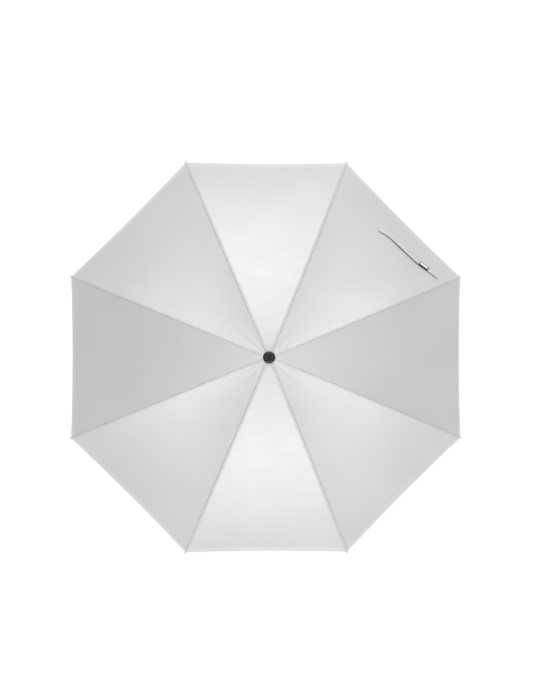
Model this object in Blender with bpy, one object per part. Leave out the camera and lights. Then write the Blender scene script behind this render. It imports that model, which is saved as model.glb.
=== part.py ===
"""Umbrella reflector: an eight-rib studio umbrella, stored open, cap up, with its shaft along Z.

Metres, +Z up. The origin is the centre of the shaft's lower end face.
Ribs stand at 22.5 degrees and every 45 degrees from there, so the gores' middles lie on the axes.
Every link is drawn once, in the XZ plane, and placed eight times round the shaft.
"""

import math

import bmesh
import bpy
from mathutils import Matrix, Vector

MM = 0.001

# Overall sizes
RIB_COUNT = 8
HUB_Z = 600 * MM  # height of the ribs' pivots above the shaft's lower end
RIB_LENGTH = 470 * MM  # arc length from pivot to end
RIB_JOINT = 210 * MM  # arc length from pivot to the stretcher's joint
SLOPE_AT_HUB = math.radians(9)  # the open rib's slope below horizontal
SLOPE_AT_TIP = math.radians(37)

# Clearances
GAP = 0.3 * MM  # between pieces that touch in the real object
LOOSE = 0.4 * MM  # round the wire and in its groove

# Shaft, end plug, cap
SHAFT_R = 4.0 * MM
SHAFT_WALL = 0.8 * MM
PLUG_FLANGE = 2.5 * MM
PLUG_LIP = 0.6 * MM
PLUG_SPIGOT = 9.5 * MM
CAP_R = 12.1 * MM
CAP_WALL = 0.8 * MM
CAP_DOME = 4.6 * MM
WASHER_THICK = 0.8 * MM
SHAFT_ABOVE = 3.2 * MM  # shaft standing above the washer, inside the cap

# Pivots
PIVOT_R = 8.6 * MM  # radius of the circle of pivots, in the notch and in the runner
EYE_R = 2.0 * MM
EYE_HOLE = 1.15 * MM
WIRE_R = 0.6 * MM
BLADE = 1.2 * MM  # thickness of the flat ends that swing in the slots
PIN_R = 0.85 * MM
PIN_HEAD_R = 1.5 * MM
PIN_HEAD = 0.5 * MM

# Notch and runner
NOTCH_R = 11.5 * MM
NOTCH_BELOW = 4.5 * MM
NOTCH_ABOVE = 1.6 * MM
SLEEVE_R = 5.9 * MM
SLEEVE_LENGTH = 38 * MM
FLANGE_BELOW = 3.2 * MM

# Catch and stop pin
CATCH_OUT = 1.15 * MM  # how far the catch stands out of the shaft
CATCH_WIDTH = 1.6 * MM
CATCH_NOSE = 1.5 * MM
CATCH_RAMP = 7.5 * MM
CATCH_LEAF = 25 * MM
LEAF_THICK = 0.5 * MM
KEYWAY_R = 5.5 * MM
STOP_R = 0.8 * MM
STOP_OUT = 1.2 * MM

# Rib channel, rod, stretcher channel
RIB_WIDTH = 3.2 * MM
RIB_HEIGHT = 3.0 * MM
RIB_WALL = 0.5 * MM
ROD_R = 1.5 * MM
ROD_TIP_R = 1.2 * MM
ROD_STEPS = 8
ROD_CLEAR = 2.5 * MM  # from the joint's eyes to the rod's solid end
CHEEK = 0.7 * MM
STRETCHER_WALL = 0.5 * MM
STRETCHER_HEIGHT = 3.0 * MM
RIB_BLADE = 7 * MM  # bare length of the rib's flat ends
RUNNER_BLADE = 26 * MM  # bare length of the stretcher's flat end
CHEEK_LENGTH = 10 * MM
STRETCHER_CHEEK = 14 * MM
BITE = 6 * MM  # how far a flat end reaches into its channel

# Rib tip
TIP_R = 2.1 * MM
TIP_BELOW = 8 * MM
TIP_BEYOND = 2.5 * MM
TIP_CUP = 2 * MM  # from the rod's end to the rib's nominal end

# Canopy
CLOTH_OVER = 1.0 * MM  # from the joints' eyes to the cloth's underside
CLOTH = 0.8 * MM
CLOTH_START = 1.2 * MM  # arc length from the pivot to the crown edge
HEM_BACK = 5 * MM  # from the rib's end back to the hem's corner
HEM_SCALLOP = 4 * MM
GORE_SAG = 4 * MM

# Closure strap: its inner edge as (share of the half gore, distance in from the hem's corners)
STRAP_EDGE = [(-0.15, 57 * MM), (0, 50 * MM), (0.56, 47.5 * MM), (0.89, 39 * MM)]
STRAP_WIDTH = 12 * MM
STRAP_THICK = 1.0 * MM
STRAP_LIFT = 0.6 * MM  # under it, so that a flat strip clears the curved cloth
TAG_FROM = 0.575
TAG_LENGTH = 21 * MM
TAG_WIDTH = 8 * MM
TAG_THICK = 0.8 * MM
TAG_INSET = 0.5 * MM

# Derived sizes
CLOTH_LIFT = EYE_R + CLOTH_OVER  # from the ribs' centre line to the cloth's underside
SECTOR = 2 * math.pi / RIB_COUNT
HALF = SECTOR / 2
RIB_ARC_R = RIB_LENGTH / (SLOPE_AT_TIP - SLOPE_AT_HUB)
BORE_R = SHAFT_R + GAP
SLOT = BLADE + 2 * GAP
SLOT_IN = PIVOT_R - EYE_R - GAP
GROOVE = WIRE_R + LOOSE
BLADE_IN = BLADE / 2 + GAP
FORK_OUT = BLADE_IN + CHEEK  # the rod's fork, outer face
STRETCHER_IN = FORK_OUT + GAP
STRETCHER_OUT = STRETCHER_IN + CHEEK
PIN_END = STRETCHER_OUT + GAP
PIN_HOLE = PIN_R + GAP + 0.05 * MM  # the bore is faceted, so it is drawn slightly larger


def rib_slope(s):
    """Slope below horizontal at arc length s from the pivot."""
    return SLOPE_AT_HUB + s / RIB_ARC_R


def rib_point(s):
    """(distance from the shaft, height) of the open rib's centre line at arc length s."""
    b = rib_slope(s)
    out = PIVOT_R + RIB_ARC_R * (math.sin(b) - math.sin(SLOPE_AT_HUB))
    return out, HUB_Z - RIB_ARC_R * (math.cos(SLOPE_AT_HUB) - math.cos(b))


JOINT = Vector((rib_point(RIB_JOINT)[0], 0, rib_point(RIB_JOINT)[1]))
HUB = Vector((PIVOT_R, 0, HUB_Z))
# The stretcher is as long as the chord from hub to joint, so its foot is straight below the hub pivot.
FOOT = Vector((PIVOT_R, 0, 2 * JOINT.z - HUB_Z))
RUNNER_Z = FOOT.z
HEM = RIB_LENGTH - HEM_BACK


def gore_slope(s):
    """Slope of the cloth's middle line, which runs inside the ribs."""
    return math.atan(math.tan(rib_slope(s)) / math.cos(HALF))


def gore_point(s, across, lift, side=1):
    """Point of a gore with its middle in the XZ plane. across goes from 0, the middle, to 1, the rib."""
    s = min(s, HEM - HEM_SCALLOP * (1 - across**2) * (s / HEM) ** 4)
    out, z = rib_point(s)
    b = gore_slope(s)
    along = (s - CLOTH_START) / (HEM - CLOTH_START)
    drop = GORE_SAG * math.sin(math.pi * along) * (1 - across**2)
    x = out * math.cos(HALF) + (lift - drop) * math.sin(b)
    y_rib = x * math.tan(HALF) - GAP / 2 / math.cos(HALF)
    return Vector((x, side * (GAP / 2 + across * (y_rib - GAP / 2)), z + (lift - drop) * math.cos(b)))


CLOTH_TOP = gore_point(CLOTH_START, 0, CLOTH_LIFT + CLOTH).z
WASHER_Z = CLOTH_TOP + GAP
CAP_UNDER = WASHER_Z + WASHER_THICK + GAP
SHAFT_TOP = WASHER_Z + WASHER_THICK + SHAFT_ABOVE
SHAFT_BOTTOM = PLUG_FLANGE + GAP
STOP_Z = RUNNER_Z + NOTCH_ABOVE + GAP + STOP_R
CATCH_Z = RUNNER_Z - SLEEVE_LENGTH - GAP


# ---------------------------------------------------------------- building blocks

def clear_scene():
    for ob in list(bpy.data.objects):
        bpy.data.objects.remove(ob, do_unlink=True)


def finish_mesh(bm, name):
    """Welds, turns the faces outward and hands back a mesh."""
    bmesh.ops.remove_doubles(bm, verts=bm.verts, dist=1e-6)
    bmesh.ops.recalc_face_normals(bm, faces=bm.faces)
    mesh = bpy.data.meshes.new(name)
    bm.to_mesh(mesh)
    bm.free()
    mesh.shade_smooth()
    mesh.set_sharp_from_angle(angle=math.radians(30))
    return mesh


def loft(sections, name, closed=False):
    """A solid through sections of equally many points. closed joins the last one to the first."""
    bm = bmesh.new()
    rings = [[bm.verts.new(p) for p in ring] for ring in sections]
    pairs = list(zip(rings, rings[1:]))
    if closed:
        pairs.append((rings[-1], rings[0]))
    for near, far in pairs:
        for i in range(len(near)):
            j = (i + 1) % len(near)
            bm.faces.new((near[i], near[j], far[j], far[i]))
    if not closed:
        bm.faces.new(rings[0])
        bm.faces.new(rings[-1])
    return finish_mesh(bm, name)


def turned(profile, name, sides=24):
    """A solid of revolution about Z from a closed outline of (radius, height) points."""
    rings = []
    for i in range(sides):
        a = 2 * math.pi * i / sides
        rings.append([Vector((r * math.cos(a), r * math.sin(a), z)) for r, z in profile])
    return loft(rings, name, closed=True)


def turned_solid(profile, name, sides=24):
    """The same for an outline that starts and ends on the axis."""
    bm = bmesh.new()
    ends = [bm.verts.new((0, 0, profile[0][1])), bm.verts.new((0, 0, profile[-1][1]))]
    rings = []
    for r, z in profile[1:-1]:
        angles = [2 * math.pi * i / sides for i in range(sides)]
        rings.append([bm.verts.new((r * math.cos(a), r * math.sin(a), z)) for a in angles])
    for i in range(sides):
        j = (i + 1) % sides
        bm.faces.new((ends[0], rings[0][i], rings[0][j]))
        bm.faces.new((ends[1], rings[-1][j], rings[-1][i]))
        for near, far in zip(rings, rings[1:]):
            bm.faces.new((near[i], near[j], far[j], far[i]))
    return finish_mesh(bm, name)


def slab(outline, half, name, middle=0.0):
    """An outline of (x, z) points given a thickness of 2 * half along Y, round y = middle."""
    return loft([[Vector((x, middle + y, z)) for x, z in outline] for y in (-half, half)], name)


def block(x0, x1, y0, y1, z0, z1, name):
    outline = [(x0, z0), (x1, z0), (x1, z1), (x0, z1)]
    return slab(outline, (y1 - y0) / 2, name, (y0 + y1) / 2)


def lug(eye, hole, length, height, thick, name, middle=0.0, sides=9):
    """A flat end: a round eye at the origin, bored by hole, with a tang along +X."""
    start = math.asin(min(1.0, height / 2 / eye))
    angles = [start + (2 * math.pi - 2 * start) * i / (sides - 1) for i in range(sides)]
    outer = [(length, height / 2)] + [(eye * math.cos(a), eye * math.sin(a)) for a in angles]
    outer.append((length, -height / 2))
    inner = [(hole * math.cos(a), hole * math.sin(a)) for a in [start / 2, *angles, -start / 2]]
    bm = bmesh.new()
    loops = []
    for points in (outer, inner):
        for y in (middle - thick / 2, middle + thick / 2):
            loops.append([bm.verts.new((x, y, z)) for x, z in points])
    for near, far in ((0, 1), (1, 3), (3, 2), (2, 0)):
        for i in range(len(outer)):
            j = (i + 1) % len(outer)
            bm.faces.new((loops[near][i], loops[near][j], loops[far][j], loops[far][i]))
    return finish_mesh(bm, name)


def along(mesh, start, direction):
    """Turns a mesh in the XZ plane from +X to a direction and moves it to start."""
    angle = math.atan2(direction.z, direction.x)
    mesh.transform(Matrix.Translation(start) @ Matrix.Rotation(-angle, 4, "Y"))
    return mesh


def merged(first, others, operation, name):
    """Boolean of one mesh with others, one after another."""
    base = bpy.data.objects.new(name, first)
    bpy.context.scene.collection.objects.link(base)
    tools = []
    for mesh in others:
        tool = bpy.data.objects.new("cutter", mesh)
        bpy.context.scene.collection.objects.link(tool)
        tool.hide_render = True
        tool.display_type = "WIRE"
        step = base.modifiers.new("cut", "BOOLEAN")
        step.operation = operation
        step.solver = "EXACT"
        step.object = tool
        tools.append(tool)
    bpy.context.view_layer.update()
    evaluated = base.evaluated_get(bpy.context.evaluated_depsgraph_get())
    result = bpy.data.meshes.new_from_object(evaluated)
    for ob in [base, *tools]:
        bpy.data.objects.remove(ob, do_unlink=True)
    result.name = name
    return result


def channel(start, end, out, wall, low, high, name, steps=6):
    """A channel, open below, along the rib's arc between two arc lengths, or straight if they are vectors."""
    section = [(-out, low), (-out, high), (out, high), (out, low)]
    section += [(out - wall, low), (out - wall, high - wall), (wall - out, high - wall), (wall - out, low)]
    rings = []
    for i in range(steps + 1):
        if isinstance(start, Vector):
            middle, tangent = start.lerp(end, i / steps), (end - start).normalized()
        else:
            s = start + (end - start) * i / steps
            x, z = rib_point(s)
            b = rib_slope(s)
            middle, tangent = Vector((x, 0, z)), Vector((math.cos(b), 0, -math.sin(b)))
        normal = Vector((-tangent.z, 0, tangent.x))
        rings.append([middle + normal * h + Vector((0, y, 0)) for y, h in section])
    return loft(rings, name)


def material(name, colour, roughness, metallic=0.0):
    mat = bpy.data.materials.new(name)
    mat.use_nodes = True
    shader = mat.node_tree.nodes["Principled BSDF"]
    shader.inputs["Base Color"].default_value = (*colour, 1)
    shader.inputs["Roughness"].default_value = roughness
    shader.inputs["Metallic"].default_value = metallic
    mat.diffuse_color = (*colour, 1)
    return mat


def place(name, mesh, mat, origin, azimuth=0.0):
    """Adds an object whose mesh is drawn in world places at azimuth 0, with its origin at the given point."""
    ob = bpy.data.objects.new(name, mesh)
    ob.rotation_euler = (0, 0, azimuth)
    ob.location = Matrix.Rotation(azimuth, 3, "Z") @ origin
    if not mesh.materials:
        mesh.materials.append(mat)
    bpy.context.scene.collection.objects.link(ob)
    return ob


def from_origin(mesh, origin):
    mesh.transform(Matrix.Translation(-origin))
    return mesh


# ---------------------------------------------------------------- shaft and its fittings

def make_shaft(steel):
    inner = SHAFT_R - SHAFT_WALL
    outline = [(inner, SHAFT_BOTTOM), (SHAFT_R, SHAFT_BOTTOM), (SHAFT_R, SHAFT_TOP), (inner, SHAFT_TOP)]
    tube = turned(outline, "shaft")
    half = CATCH_WIDTH / 2 + GAP
    low = CATCH_Z - CATCH_NOSE - CATCH_RAMP - GAP
    window = block(SHAFT_R / 2, 2 * SHAFT_R, -half, half, low, CATCH_Z + GAP, "window")
    reach = 2 * SHAFT_R
    r = STOP_R + GAP
    hole = turned_solid([(0, -reach), (r, -reach), (r, reach), (0, reach)], "hole", 12)
    hole.transform(Matrix.Translation((0, 0, STOP_Z)) @ Matrix.Rotation(math.pi / 2, 4, "X"))
    place("shaft", merged(tube, [window, hole], "DIFFERENCE", "shaft"), steel, Vector())


def make_end_plug(plastic):
    spigot = SHAFT_R - SHAFT_WALL - GAP
    lip = SHAFT_R + PLUG_LIP
    edge = 0.4 * MM
    outline = [(0, 0), (lip - edge, 0), (lip, edge), (lip, PLUG_FLANGE), (spigot, PLUG_FLANGE)]
    outline += [(spigot, PLUG_FLANGE + PLUG_SPIGOT - edge), (spigot - edge, PLUG_FLANGE + PLUG_SPIGOT)]
    outline.append((0, PLUG_FLANGE + PLUG_SPIGOT))
    place("end_plug", turned_solid(outline, "end_plug", 16), plastic, Vector())


def slotted(outline, name):
    """A turned ring with a radial slot for each link, right through it."""
    cutters = []
    for k in range(RIB_COUNT):
        slot = block(SLOT_IN, 2 * NOTCH_R, -SLOT / 2, SLOT / 2, 0, 2 * HUB_Z, "slot")
        slot.transform(Matrix.Rotation(HALF + k * SECTOR, 4, "Z"))
        cutters.append(slot)
    return merged(turned(outline, name), cutters, "DIFFERENCE", name)


def wire_groove(z, top):
    """The outline's points across the wire's groove, open upward, from the inside out."""
    return [(PIVOT_R - GROOVE, top), (PIVOT_R - GROOVE, z - GROOVE), (PIVOT_R + GROOVE, z - GROOVE),
            (PIVOT_R + GROOVE, top)]


def make_notch(plastic, steel):
    top = HUB_Z + NOTCH_ABOVE
    low = HUB_Z - NOTCH_BELOW
    edge = 0.8 * MM
    outline = [(BORE_R, top), *wire_groove(HUB_Z, top), (NOTCH_R, top), (NOTCH_R, low + edge)]
    outline += [(NOTCH_R - edge, low), (BORE_R, low)]
    place("top_notch", slotted(outline, "top_notch"), plastic, Vector())
    rings = []
    for i in range(24):
        a = 2 * math.pi * i / 24
        spoke = Vector((math.cos(a), math.sin(a), 0))
        turn = [2 * math.pi * j / 6 for j in range(6)]
        rings.append([spoke * (PIVOT_R + WIRE_R * math.cos(t)) + Vector((0, 0, HUB_Z + WIRE_R * math.sin(t)))
                      for t in turn])
    place("notch_wire", loft(rings, "notch_wire", closed=True), steel, Vector())


def make_cap(gloss, felt):
    washer_r = CAP_R - CAP_WALL - GAP
    outline = [(BORE_R, WASHER_Z), (washer_r, WASHER_Z), (washer_r, WASHER_Z + WASHER_THICK)]
    outline.append((BORE_R, WASHER_Z + WASHER_THICK))
    place("crown_washer", turned(outline, "crown_washer"), felt, Vector())
    rim = CAP_UNDER + CAP_WALL
    roof = SHAFT_TOP + GAP
    outline = [(0, roof), (BORE_R, roof), (BORE_R, CAP_UNDER), (CAP_R - CAP_WALL, CAP_UNDER)]
    outline += [(CAP_R - CAP_WALL, WASHER_Z), (CAP_R, WASHER_Z)]
    for i in range(7):
        a = math.pi / 2 * i / 6
        outline.append((CAP_R * math.cos(a) ** 0.5, rim + CAP_DOME * math.sin(a)))
    outline[-1] = (0, rim + CAP_DOME)
    place("top_cap", turned_solid(outline, "top_cap"), gloss, Vector())


def make_catch_and_stop(steel):
    inner = SHAFT_R - SHAFT_WALL
    nose = SHAFT_R + CATCH_OUT
    back = inner - LEAF_THICK - GAP
    low = CATCH_Z - CATCH_NOSE - CATCH_RAMP
    outline = [(back, CATCH_Z), (nose, CATCH_Z), (nose, CATCH_Z - CATCH_NOSE), (inner - GAP, low)]
    outline += [(inner - GAP, low - CATCH_LEAF), (back, low - CATCH_LEAF)]
    origin = Vector((nose, 0, CATCH_Z))
    mesh = from_origin(slab(outline, CATCH_WIDTH / 2, "catch_spring"), origin)
    place("catch_spring", mesh, steel, origin)
    end = SHAFT_R + STOP_OUT
    pin = turned_solid([(0, -end), (STOP_R, -end), (STOP_R, end), (0, end)], "stop_pin", 12)
    pin.transform(Matrix.Translation((0, 0, STOP_Z)) @ Matrix.Rotation(math.pi / 2, 4, "X"))
    place("stop_pin", pin, steel, Vector())


def make_runner(plastic):
    top = RUNNER_Z + NOTCH_ABOVE
    low = RUNNER_Z - FLANGE_BELOW
    end = RUNNER_Z - SLEEVE_LENGTH
    edge = 0.4 * MM
    outline = [(BORE_R, top), *wire_groove(RUNNER_Z, top), (NOTCH_R, top), (NOTCH_R, low)]
    outline += [(SLEEVE_R, low), (SLEEVE_R, end + edge), (SLEEVE_R - edge, end), (BORE_R, end)]
    half = CATCH_WIDTH / 2 + GAP
    keyway = block(SHAFT_R, KEYWAY_R, -half, half, 0, 2 * HUB_Z, "keyway")
    mesh = merged(slotted(outline, "runner"), [keyway], "DIFFERENCE", "runner")
    origin = Vector((0, 0, RUNNER_Z))
    place("runner", from_origin(mesh, origin), plastic, origin)


# ---------------------------------------------------------------- ribs and stretchers

def arc_frame(s):
    """Point and outward tangent of the rib at arc length s."""
    x, z = rib_point(s)
    b = rib_slope(s)
    return Vector((x, 0, z)), Vector((math.cos(b), 0, -math.sin(b)))


def joint_pin():
    """The rivet through the rib's joint, headed at both ends."""
    head = PIN_END + PIN_HEAD
    outline = [(0, -head), (PIN_HEAD_R, -head), (PIN_HEAD_R, -PIN_END), (PIN_R, -PIN_END)]
    outline += [(PIN_R, PIN_END), (PIN_HEAD_R, PIN_END), (PIN_HEAD_R, head), (0, head)]
    pin = turned_solid(outline, "pin", 8)
    pin.transform(Matrix.Translation(JOINT) @ Matrix.Rotation(math.pi / 2, 4, "X"))
    return pin


def rib_inner_mesh():
    high = RIB_HEIGHT / 2
    body = channel(RIB_BLADE, RIB_JOINT - RIB_BLADE, RIB_WIDTH / 2, RIB_WALL, -high, high, "rib_inner")
    tang = 2 * (high - RIB_WALL / 2)
    reach = RIB_BLADE + BITE
    _, at_hub = arc_frame(reach / 2)
    _, at_joint = arc_frame(RIB_JOINT - reach / 2)
    hub_end = along(lug(EYE_R, EYE_HOLE, reach, tang, BLADE, "hub_end"), HUB, at_hub)
    joint_end = along(lug(EYE_R, PIN_R / 2, reach, tang, BLADE, "joint_end"), JOINT, -at_joint)
    return merged(body, [hub_end, joint_end, joint_pin()], "UNION", "rib_inner")


def rib_outer_mesh():
    start = RIB_JOINT + EYE_R + ROD_CLEAR
    end = RIB_LENGTH - TIP_CUP
    rings = []
    for i in range(ROD_STEPS + 1):
        s = start + (end - start) * i / ROD_STEPS
        middle, tangent = arc_frame(s)
        normal = Vector((-tangent.z, 0, tangent.x))
        r = ROD_R + (ROD_TIP_R - ROD_R) * i / ROD_STEPS
        turn = [math.pi / 6 + 2 * math.pi * j / 6 for j in range(6)]
        rings.append([middle + normal * r * math.cos(t) + Vector((0, r * math.sin(t), 0)) for t in turn])
    rod = loft(rings, "rib_outer")
    _, tangent = arc_frame(RIB_JOINT + CHEEK_LENGTH / 2)
    cheeks = []
    for side in (-1, 1):
        cheek = lug(EYE_R, PIN_HOLE, CHEEK_LENGTH, ROD_R * 1.6, CHEEK, "cheek", side * (FORK_OUT - CHEEK / 2))
        cheeks.append(along(cheek, JOINT, tangent))
    return merged(rod, cheeks, "UNION", "rib_outer")


def stretcher_mesh():
    line = (FOOT - JOINT).normalized()
    low, high = -STRETCHER_HEIGHT / 2, STRETCHER_HEIGHT / 2
    wall_out = STRETCHER_OUT - (CHEEK - STRETCHER_WALL) / 2
    start = FOOT - line * RUNNER_BLADE
    end = JOINT + line * (STRETCHER_CHEEK - BITE)
    body = channel(start, end, wall_out, STRETCHER_WALL, low, high, "stretcher", 1)
    tang = 2 * (high - STRETCHER_WALL / 2)
    foot = along(lug(EYE_R, EYE_HOLE, RUNNER_BLADE + BITE, tang, BLADE, "foot"), FOOT, -line)
    cheeks = []
    for side in (-1, 1):
        middle = side * (STRETCHER_OUT - CHEEK / 2)
        cheek = lug(EYE_R, PIN_HOLE, STRETCHER_CHEEK, tang, CHEEK, "cheek", middle)
        cheeks.append(along(cheek, JOINT, line))
    return merged(body, [foot, *cheeks], "UNION", "stretcher")


def tip_mesh():
    bore = ROD_TIP_R + GAP
    floor = TIP_BELOW - TIP_CUP + GAP
    end = TIP_BELOW + TIP_BEYOND
    outline = [(0, floor), (bore, floor), (bore, 0), (TIP_R, 0), (TIP_R, end - TIP_R)]
    for i in range(1, 4):
        a = math.pi / 2 * i / 4
        outline.append((TIP_R * math.cos(a), end - TIP_R + TIP_R * math.sin(a)))
    outline.append((0, end))
    mesh = turned_solid(outline, "rib_tip", 8)
    mesh.transform(Matrix.Rotation(math.pi / 2, 4, "Y"))
    start, _ = arc_frame(RIB_LENGTH - TIP_BELOW)
    _, tangent = arc_frame(RIB_LENGTH - TIP_BELOW / 2)
    return along(mesh, start, tangent)


def make_links(steel, rod_grey, tip_grey):
    inner = from_origin(rib_inner_mesh(), HUB)
    outer = from_origin(rib_outer_mesh(), JOINT)
    tip = from_origin(tip_mesh(), JOINT)
    stretcher = from_origin(stretcher_mesh(), JOINT)
    for k in range(RIB_COUNT):
        azimuth = HALF + k * SECTOR
        place(f"rib_inner_{k + 1}", inner, steel, HUB, azimuth)
        place(f"rib_outer_{k + 1}", outer, rod_grey, JOINT, azimuth)
        place(f"rib_tip_{k + 1}", tip, tip_grey, JOINT, azimuth)
        place(f"stretcher_{k + 1}", stretcher, steel, JOINT, azimuth)


# ---------------------------------------------------------------- canopy and strap

def half_gore_mesh(side, name, stations=10, lanes=3):
    """One half of a gore, from its middle to a rib, as a thin curved slab."""
    rings = []
    for i in range(stations + 1):
        s = CLOTH_START + (HEM - CLOTH_START) * i / stations
        under = [gore_point(s, j / lanes, CLOTH_LIFT, side) for j in range(lanes + 1)]
        over = [gore_point(s, j / lanes, CLOTH_LIFT + CLOTH, side) for j in range(lanes + 1)]
        rings.append(under + over[::-1])
    return loft(rings, name)


def make_canopy(cloth):
    """Gore k has its middle at (k - 1) * 45 degrees. Half a is on its clockwise side, seen from the cap."""
    hinge = gore_point(CLOTH_START, 0, CLOTH_LIFT)
    hinge.y = 0
    for half, side in (("a", -1), ("b", 1)):
        mesh = from_origin(half_gore_mesh(side, f"half_gore_{half}"), hinge)
        for k in range(RIB_COUNT):
            place(f"gore_{k + 1}_{half}", mesh, cloth, hinge, k * SECTOR)


def arc_length_at(x):
    """Arc length at which the gore's middle line is x from the shaft."""
    low, high = 0.0, RIB_LENGTH
    for _ in range(40):
        s = (low + high) / 2
        if gore_point(s, 0, CLOTH_LIFT + CLOTH).x < x:
            low = s
        else:
            high = s
    return low


def half_width(out):
    """From the gore's middle to its rib, at a distance out from the shaft."""
    return out * math.tan(HALF)


def on_cloth(across, out, lift):
    """The point lift above the cloth, at a distance across the gore and out from the shaft."""
    share = min(1.0, abs(across) / half_width(out))
    top = gore_point(arc_length_at(out), share, CLOTH_LIFT + CLOTH + lift)
    return Vector((out, across, top.z))


def strap_edge(share):
    """Distance from the shaft of the strap's inner edge, at a share of the half gore."""
    corner = gore_point(HEM, 1, CLOTH_LIFT + CLOTH).x
    for (near, inset), (far, next_inset) in zip(STRAP_EDGE, STRAP_EDGE[1:]):
        if share <= far:
            break
    t = min(1.0, (share - near) / (far - near))
    return corner - inset - (next_inset - inset) * t


def ribbon(start, end, inset, width, low, thick, steps, name):
    """A flat strip on the cloth along the strap's edge, from one share of the half gore to another."""
    rings = []
    for i in range(steps + 1):
        share = start + (end - start) * i / steps
        x = strap_edge(share) + inset
        across = -share * half_width(x)
        corners = [(x, low), (x + width, low), (x + width, low + thick), (x, low + thick)]
        rings.append([on_cloth(across, out, lift) for out, lift in corners])
    return loft(rings, name)


def make_strap(cloth, tag):
    start, end = STRAP_EDGE[0][0], STRAP_EDGE[-1][0]
    strap = ribbon(start, end, 0, STRAP_WIDTH, STRAP_LIFT, STRAP_THICK, 18, "strap")
    above = STRAP_LIFT + STRAP_THICK + GAP
    tag_end = TAG_FROM + TAG_LENGTH / half_width(strap_edge(TAG_FROM))
    label = ribbon(TAG_FROM, tag_end, TAG_INSET, TAG_WIDTH, above, TAG_THICK, 4, "tag")
    origin = on_cloth(0, strap_edge(0), STRAP_LIFT)
    place("closure_strap", from_origin(strap, origin), cloth, origin, SECTOR)
    place("strap_tag", from_origin(label, origin), tag, origin, SECTOR)


def main():
    clear_scene()
    chrome = material("bright_steel", (0.62, 0.63, 0.65), 0.22, 1.0)
    spring = material("spring_steel", (0.45, 0.46, 0.48), 0.3, 1.0)
    black = material("black_plastic", (0.02, 0.02, 0.022), 0.35)
    gloss = material("gloss_black", (0.008, 0.008, 0.009), 0.1)
    rod_grey = material("fibreglass", (0.55, 0.56, 0.56), 0.4)
    tip_grey = material("tip_grey", (0.6, 0.61, 0.61), 0.35)
    cloth = material("silver_cloth", (0.74, 0.76, 0.75), 0.45)
    felt = material("washer_cloth", (0.6, 0.61, 0.6), 0.8)
    tag = material("tag_white", (0.85, 0.85, 0.84), 0.5)
    make_shaft(chrome)
    make_end_plug(black)
    make_notch(black, spring)
    make_cap(gloss, felt)
    make_catch_and_stop(spring)
    make_runner(black)
    make_links(chrome, rod_grey, tip_grey)
    make_canopy(cloth)
    make_strap(cloth, tag)


main()
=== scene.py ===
"""Looks for a folding umbrella reflector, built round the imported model, in metres."""

import math

import bmesh
import bpy
from mathutils import Matrix, Vector


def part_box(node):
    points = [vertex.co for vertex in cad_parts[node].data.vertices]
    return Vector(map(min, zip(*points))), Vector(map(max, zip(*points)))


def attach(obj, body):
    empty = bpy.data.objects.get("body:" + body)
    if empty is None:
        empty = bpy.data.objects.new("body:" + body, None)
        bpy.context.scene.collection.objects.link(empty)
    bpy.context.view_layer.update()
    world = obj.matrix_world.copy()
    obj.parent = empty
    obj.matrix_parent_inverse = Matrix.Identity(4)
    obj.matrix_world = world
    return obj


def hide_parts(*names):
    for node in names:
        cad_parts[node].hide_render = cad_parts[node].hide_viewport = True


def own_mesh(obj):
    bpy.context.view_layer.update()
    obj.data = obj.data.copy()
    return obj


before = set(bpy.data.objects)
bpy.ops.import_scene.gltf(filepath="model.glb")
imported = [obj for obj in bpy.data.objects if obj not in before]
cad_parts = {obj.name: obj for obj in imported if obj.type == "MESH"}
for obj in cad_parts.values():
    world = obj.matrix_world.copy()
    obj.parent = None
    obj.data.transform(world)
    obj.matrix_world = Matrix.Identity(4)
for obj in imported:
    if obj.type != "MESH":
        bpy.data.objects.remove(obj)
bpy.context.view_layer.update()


# ---------------------------------------------------------------- camera
# The umbrella is seen from almost straight above its cap, from about three and a half metres.
# Up in the picture is +Y. The camera stands a little to the left of the shaft.

AIM = Vector((0.0077, 0.0153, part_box("rib_tip_1")[0].z))
CAMERA_OFFSET = Vector((-0.11, -0.012, 3.5))
VIEW_TALL = 1.45  # what the picture's height takes in, at the rib tips
FILM = 36  # millimetres, along the picture's height

camera_data = bpy.data.cameras.new("camera")
camera_data.sensor_width = FILM
camera_data.lens = FILM * CAMERA_OFFSET.z / VIEW_TALL
camera = bpy.data.objects.new("camera", camera_data)
camera.location = AIM + CAMERA_OFFSET
back = CAMERA_OFFSET.normalized()
right = Vector((0, 1, 0)).cross(back).normalized()
camera.rotation_euler = Matrix((right, back.cross(right), back)).transposed().to_euler()
bpy.context.scene.collection.objects.link(camera)
bpy.context.scene.camera = camera


# ---------------------------------------------------------------- canopy cloth
# Eight gores of coated plain weave with a silver-white satin face, sewn edge to edge and pulled over
# the ribs. Each seam is felled into a narrow raised band, and the hem is turned and sewn. A gore
# creases down its middle when the umbrella closes, so its halves are pieces that meet there.

MM = 0.001
RIB_COUNT = 8
SECTOR = 2 * math.pi / RIB_COUNT
HALF = SECTOR / 2
PIVOT_R = 8.6 * MM
HUB_Z = 600 * MM
RIB_LENGTH = 470 * MM
RIB_JOINT = 210 * MM
SLOPE_AT_HUB = math.radians(9)
SLOPE_AT_TIP = math.radians(37)
RIB_ARC_R = RIB_LENGTH / (SLOPE_AT_TIP - SLOPE_AT_HUB)
CLOTH_START = 1.2 * MM
HEM = 465 * MM
HEM_SCALLOP = 4 * MM
SAG = 4 * MM
CLOTH_LIFT = 3.4 * MM  # from the ribs' centre line to the middle of the cloth
CLOTH = 0.3 * MM
SEAM_HALF = 1.5 * MM
SEAM_HIGH = 0.4 * MM
HEM_WIDE = 8 * MM
HEM_HIGH = 0.35 * MM
EDGE_SLOPE = 0.8 * MM  # how wide the step up to a seam or to the hem is
GATHER_HIGH = 0.2 * MM  # small gathers beside the seams and the hem
GATHER_REACH = 15 * MM
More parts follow.
